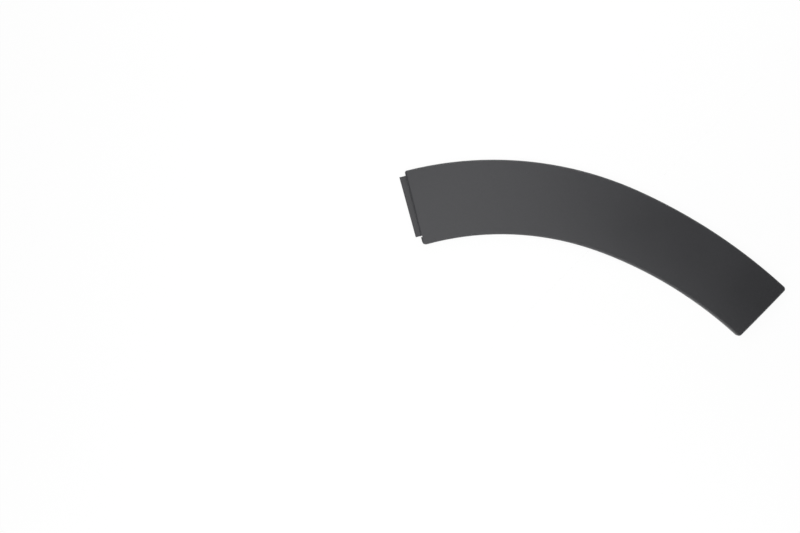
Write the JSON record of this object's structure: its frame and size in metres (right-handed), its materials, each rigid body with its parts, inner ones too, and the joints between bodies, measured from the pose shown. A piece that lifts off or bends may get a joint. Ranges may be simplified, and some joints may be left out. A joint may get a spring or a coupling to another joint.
{
  "type": "bumper trim",
  "caption": "Curved wheel-arch trim strip for a bumper, a crowned hollow moulding with a stepped lap tongue at one end and clip towers on its back.",
  "frame": {"origin": "on the rim plane, under the middle of the trim's bounding box", "axes": "+X along the trim from the tongue end to the far end, +Y towards the top of the arch, +Z out of the face"},
  "size_m": [0.4252, 0.194, 0.0205],
  "materials": {
    "trim_plastic": "fine grained, satin dark grey"
  },
  "bodies": {
    "root": {"bumper_trim": "trim_plastic"}
  },
  "joints": []
}
